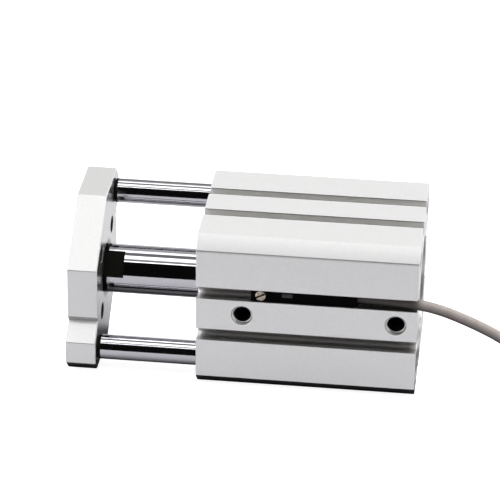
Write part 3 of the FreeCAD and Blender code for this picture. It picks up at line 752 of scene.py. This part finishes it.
# The switch's lead. Its free run repeats the route of the CAD tube; the rest of the 0.5 m is wound
# into a flat coil past the right edge of the view.
lead = {
    "diameter": 2.6 * mm, "length": 0.5,
    # Free run, centre of the coil, heights of its two layers, and tail, in mm
    "route": [
        (-14.4, -17.3, 5.5), (-5.0, -17.9, 5.65), (4.0, -19.1, 5.3), (13.0, -20.3, 2.55),
        (21.5, -21.4, -1.1), (30.5, -22.0, -8.3), (40.5, -22.3, -15.1),
    ],
    "centre": (51.0, -6.1), "upper": -16.1, "lower": -18.7,
    "tail": [(34.5, -10.5, -18.7), (34.5, -17.0, -18.7), (34.5, -22.1, -18.7)],
    # Radius of each lap, in mm, from the one that the lead enters to the one that it leaves
    "laps": [16.2, 13.6, 11.3, 13.9, 16.5], "pointsPerTurn": 20,
    # Where the lead enters, where and over what angle a lap crosses to the next, and where and over
    # what angle the lead drops to the lower layer, in degrees
    "entryAngle": 270.0, "crossingStart": 180.0, "crossing": 60.0, "descentStart": 945.0, "descent": 75.0,
}
# The two conductors as part.py lays them, in mm: side by side, fanned out and down to the floor
conductors = {"diameter": 1.1, "length": 14.0, "spread": 1.3, "drop": 0.75}


def smooth(share):
    share = min(max(share, 0.0), 1.0)
    return share * share * (3 - 2 * share)


def coilPoints(size):
    # Laps lie side by side in two layers. Each steps across to the next over one and the same sector.
    step = 360 / size["pointsPerTurn"]
    outward = 1 / math.cos(math.radians(step / 2))     # the spline runs inside its control points
    last = size["crossingStart"] + 360 * len(size["laps"])
    points = []
    for number in range(round((last - size["entryAngle"]) / step) + 1):
        angle = size["entryAngle"] + number * step
        radius = size["laps"][0]
        for lap, (before, after) in enumerate(zip(size["laps"], size["laps"][1:]), 1):
            crossed = (angle - size["crossingStart"] - 360 * lap) / size["crossing"]
            radius += (after - before) * smooth(crossed)
        fallen = smooth((angle - size["descentStart"]) / size["descent"])
        height = size["upper"] + (size["lower"] - size["upper"]) * fallen
        turn = math.radians(angle)
        x = size["centre"][0] + radius * outward * math.cos(turn)
        y = size["centre"][1] + radius * outward * math.sin(turn)
        points.append((x, y, height))
    return points


def splineCurve(name, points, radius):
    curve = bpy.data.curves.new(name, "CURVE")
    curve.dimensions = "3D"
    spline = curve.splines.new("NURBS")
    spline.points.add(len(points) - 1)
    for target, point in zip(spline.points, points):
        target.co = (*(value * mm for value in point), 1.0)
    spline.order_u = 3
    spline.use_endpoint_u = True
    spline.resolution_u = 6
    curve.bevel_depth = radius
    curve.bevel_resolution = 6
    curve.use_fill_caps = True
    made = bpy.data.objects.new(name, curve)
    scene.collection.objects.link(made)
    return made


def makeLead(size):
    points = size["route"] + coilPoints(size) + size["tail"]
    made = splineCurve("switchLead", points, size["diameter"] / 2)
    made.data.materials.append(finishes["sheath"])
    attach(made, "body")
    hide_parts("switch_lead", "lead_coil", "lead_tail")
    return made


# Seven tinned strands show beyond the insulation of each conductor, with the twist still in them.
strands = {
    "Length": 3.9 * mm, "Lay": 6.0 * mm, "Circle": 0.233 * mm, "Thickness": 0.117 * mm, "Outer": 6,
}


def makeStrandTree():
    tree, given = geometryTree("twistedStrands", strands)
    inputs = {"Resolution": 10, "Radius": given["Thickness"]}
    section = addNode(tree, "GeometryNodeCurvePrimitiveCircle", inputs, mode="RADIUS").outputs[0]
    inputs = {
        "Resolution": 24, "Rotations": maths(tree, "DIVIDE", given["Length"], given["Lay"]),
        "Start Radius": given["Circle"], "End Radius": given["Circle"],
        "Height": given["Length"], "Reverse": True,
    }
    helix = addNode(tree, "GeometryNodeCurveSpiral", inputs).outputs[0]
    top = addNode(tree, "ShaderNodeCombineXYZ", {"Z": given["Length"]}).outputs[0]
    core = addNode(tree, "GeometryNodeCurvePrimitiveLine", {"Start": (0, 0, 0), "End": top}).outputs[0]
    made = []
    for path in (helix, core):
        inputs = {"Curve": path, "Profile Curve": section, "Fill Caps": True}
        made.append(addNode(tree, "GeometryNodeCurveToMesh", inputs).outputs[0])
    inputs = {"Count": given["Outer"], "Offset": (0, 0, 0)}
    spots = addNode(tree, "GeometryNodeMeshLine", inputs).outputs[0]
    step = maths(tree, "DIVIDE", 2 * math.pi, given["Outer"])
    angle = maths(tree, "MULTIPLY", addNode(tree, "GeometryNodeInputIndex").outputs[0], step)
    turn = addNode(tree, "FunctionNodeAxisAngleToRotation", {"Axis": (0, 0, 1), "Angle": angle}).outputs[0]
    inputs = {"Points": spots, "Instance": made[0], "Rotation": turn}
    outer = addNode(tree, "GeometryNodeInstanceOnPoints", inputs).outputs[0]
    bundle = addNode(tree, "GeometryNodeJoinGeometry", {0: outer})
    tree.links.new(made[1], bundle.inputs[0])
    return closeTree(tree, standOnSeeds(tree, given["Seeds"], bundle.outputs[0]), given["Finish"])


def strandSeeds(end, size):
    # Where the insulation of the two conductors stops, and the way in which they run there.
    places = []
    for side in (-1, 1):
        along = Vector((side * size["spread"], -size["length"], -size["drop"])).normalized()
        base = Vector(end) + Vector((side * size["diameter"] / 2, 0, 0)) + along * size["length"]
        places.append((tuple(base), tuple(along)))
    return places


wireStrands = grow(
    "wireStrands", makeStrandTree(), seedMesh("conductorEnds", strandSeeds(lead["tail"][-1], conductors)),
    strands, finishes["tinned"])
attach(wireStrands, "body")
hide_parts("lead_wire_tips")

# A cable tie holds the turns on the side away from the cylinder: ridged band, lock head and trimmed end.
tieBand = {"Width": 2.9 * mm, "Band": 0.55 * mm, "Corner": 0.2 * mm, "Teeth": 34, "Tooth": 0.16 * mm}
toothForm = {"width": 0.62, "height": 2.0, "length": 2.2}     # shares of the band's width and of a tooth
tie = {
    # Turns that the band goes round and the lowest point that it may reach, as (outward, up) in mm
    "turns": [(11.3, -18.7), (16.5, -18.7), (16.2, -16.1), (13.6, -16.1)], "turnRadius": 1.3, "lowest": -19.5,
    # Lock head and trimmed end, in mm
    "head": (4.4, 4.4, 2.9), "headPlace": (14.9, -13.05), "headEdge": 0.45,
    "end": (2.6, 2.6, 0.6), "endSink": 0.6, "endRise": 0.5, "endEdge": 0.12,
}


def tiePath(size):
    # The band's middle line: a loop pulled tight round the turns it holds, in the plane across them.
    spots = size["turns"]
    reach = size["turnRadius"] + tieBand["Band"] / mm / 2
    points = []
    for number, (r, z) in enumerate(spots):
        (beforeR, beforeZ), (afterR, afterZ) = spots[number - 1], spots[(number + 1) % len(spots)]
        start = math.atan2(z - beforeZ, r - beforeR) - math.pi / 2
        end = math.atan2(afterZ - z, afterR - r) - math.pi / 2
        sweep = (end - start) % (2 * math.pi)
        steps = max(2, round(math.degrees(sweep) / 12))
        for step in range(steps + 1):
            angle = start + sweep * step / steps
            points.append((r + reach * math.cos(angle), max(z + reach * math.sin(angle), size["lowest"])))
    return points


def tieLoop(size, centre):
    points = [((centre[0] + r) * mm, centre[1] * mm, z * mm) for r, z in tiePath(size)]
    mesh = bpy.data.meshes.new("tieLoop")
    mesh.from_pydata(points, [(number, (number + 1) % len(points)) for number in range(len(points))], [])
    return mesh


def makeTieTree(form):
    tree, given = geometryTree("ribbedBand", tieBand)
    loop = addNode(tree, "GeometryNodeMeshToCurve", {0: given["Seeds"]}).outputs[0]
    inputs = {"Curve": loop, "Normal": (0, 1, 0)}
    level = addNode(tree, "GeometryNodeSetCurveNormal", inputs, mode="FREE").outputs[0]
    inputs = {"Width": given["Width"], "Height": given["Band"]}
    flat = addNode(tree, "GeometryNodeCurvePrimitiveQuadrilateral", inputs).outputs[0]
    inputs = {"Curve": flat, "Count": 3, "Radius": given["Corner"]}
    section = addNode(tree, "GeometryNodeFilletCurve", inputs, mode="POLY").outputs[0]
    inputs = {"Curve": level, "Profile Curve": section}
    strip = addNode(tree, "GeometryNodeCurveToMesh", inputs).outputs[0]
    inputs = {"Curve": level, "Count": given["Teeth"]}
    spots = addNode(tree, "GeometryNodeCurveToPoints", inputs, mode="COUNT").outputs
    proud = maths(tree, "MULTIPLY", given["Tooth"], form["height"])
    size = addNode(tree, "ShaderNodeCombineXYZ", {
        "X": maths(tree, "MULTIPLY", given["Width"], form["width"]),
        "Y": maths(tree, "ADD", given["Band"], proud),
        "Z": maths(tree, "MULTIPLY", given["Tooth"], form["length"])}).outputs[0]
    tooth = addNode(tree, "GeometryNodeMeshCube", {"Size": size}).outputs[0]
    inputs = {"Points": spots["Points"], "Instance": tooth, "Rotation": spots["Rotation"]}
    teeth = addNode(tree, "GeometryNodeInstanceOnPoints", inputs).outputs[0]
    both = addNode(tree, "GeometryNodeJoinGeometry", {0: strip})
    tree.links.new(teeth, both.inputs[0])
    return closeTree(tree, both.outputs[0], given["Finish"])


def roundedBlock(name, size, place, edge, finish):
    # A block with rounded edges, its place in its mesh. All sizes are in mm.
    build = bmesh.new()
    bmesh.ops.create_cube(build, size=1.0)
    for vertex in build.verts:
        vertex.co = Vector(part * span + middle for part, span, middle in zip(vertex.co, size, place)) * mm
    bmesh.ops.bevel(build, geom=build.edges[:], offset=edge * mm, segments=3, profile=0.6, affect="EDGES")
    mesh = bpy.data.meshes.new(name)
    build.to_mesh(mesh)
    build.free()
    mesh.materials.append(finish)
    made = bpy.data.objects.new(name, mesh)
    scene.collection.objects.link(made)
    return made


def makeTie(size, coil):
    loop = tieLoop(size, coil["centre"])
    band = grow("tieBand", makeTieTree(toothForm), loop, tieBand, finishes["tie"])
    outward, height = size["headPlace"]
    place = (coil["centre"][0] + outward, coil["centre"][1], height)
    head = roundedBlock("tieHead", size["head"], place, size["headEdge"], finishes["tie"])
    fromHead = (size["head"][0] + size["end"][0]) / 2 - size["endSink"]
    endPlace = (place[0] - fromHead, place[1], height + size["endRise"])
    stub = roundedBlock("tieEnd", size["end"], endPlace, size["endEdge"], finishes["tie"])
    for piece in (band, head, stub):
        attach(piece, "body")
    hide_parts("lead_tie")
    return [band.name, head.name, stub.name]


tiePieces = makeTie(tie, lead)
switchLead = makeLead(lead)
wear("lead_wires", wireInsulation("wireInsulation", lead["tail"][-1][0] * mm))
print("switch lead laid")
